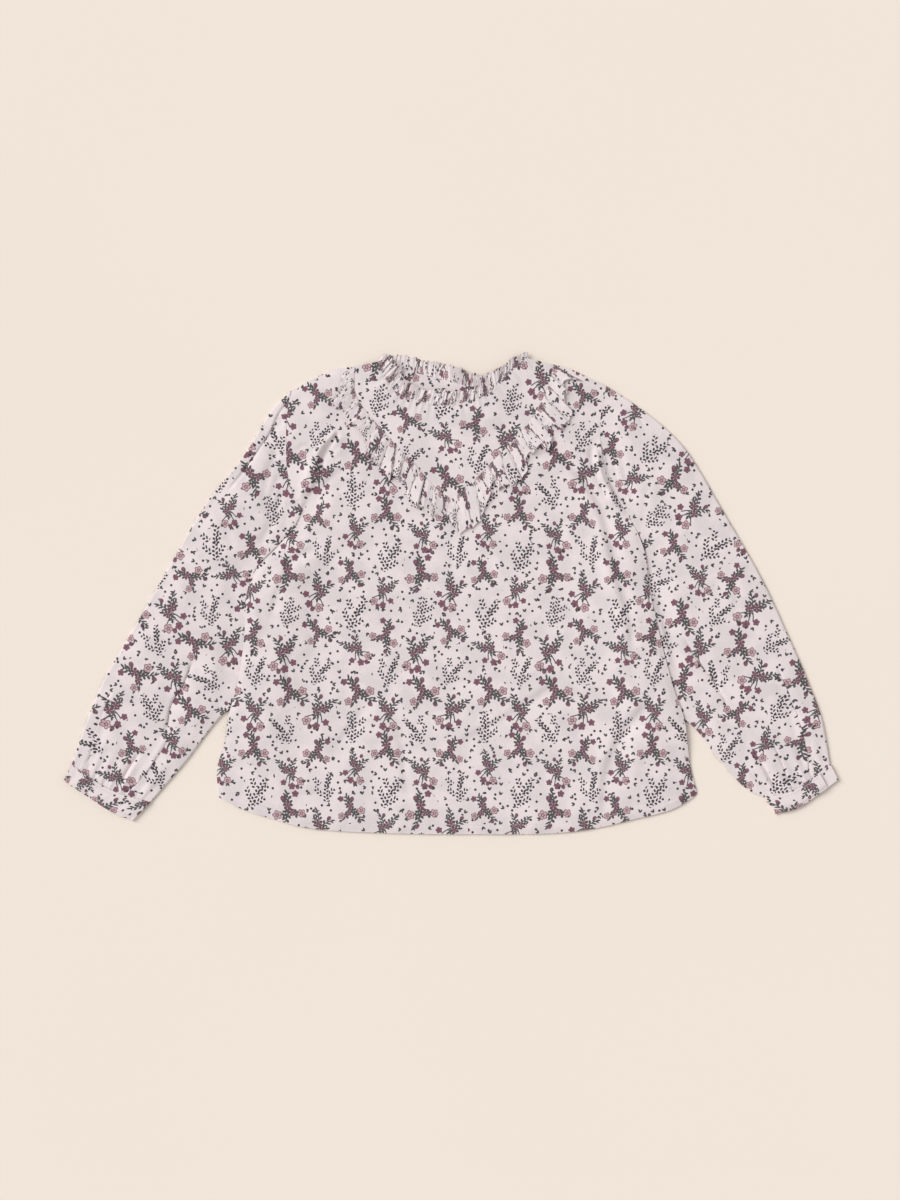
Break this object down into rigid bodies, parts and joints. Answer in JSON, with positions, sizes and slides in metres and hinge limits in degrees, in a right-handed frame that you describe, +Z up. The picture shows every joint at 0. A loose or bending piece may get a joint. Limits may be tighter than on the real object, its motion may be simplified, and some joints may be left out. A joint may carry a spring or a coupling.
{
  "type": "blouse",
  "caption": "Child's long-sleeved cotton blouse laid flat, with a V yoke edged by a ruffle, a gathered neck frill, a back neck slit and buttoned cuffs.",
  "frame": {"origin": "middle of the blouse's plan, on the surface that it lies on", "axes": "+X across the blouse towards the sleeve on the picture's right, +Y from the hem to the neck, +Z up off the surface, out of the front"},
  "size_m": [0.735, 0.4576, 0.0096],
  "materials": {
    "cotton": "plain-woven printed cotton, matt, with a small flower print",
    "button": "satin, moulded, pale"
  },
  "bodies": {
    "root": {"back": "cotton", "front": "cotton", "front_yoke": "cotton", "yoke_ruffle": "cotton", "neck_frill_front": "cotton", "neck_frill_back_left": "cotton", "neck_frill_back_right": "cotton", "sleeve_left": "cotton", "sleeve_right": "cotton", "cuff_left": "cotton", "cuff_right": "cotton", "neck_button": "button", "cuff_button_left": "button", "cuff_button_right": "button"}
  },
  "joints": []
}
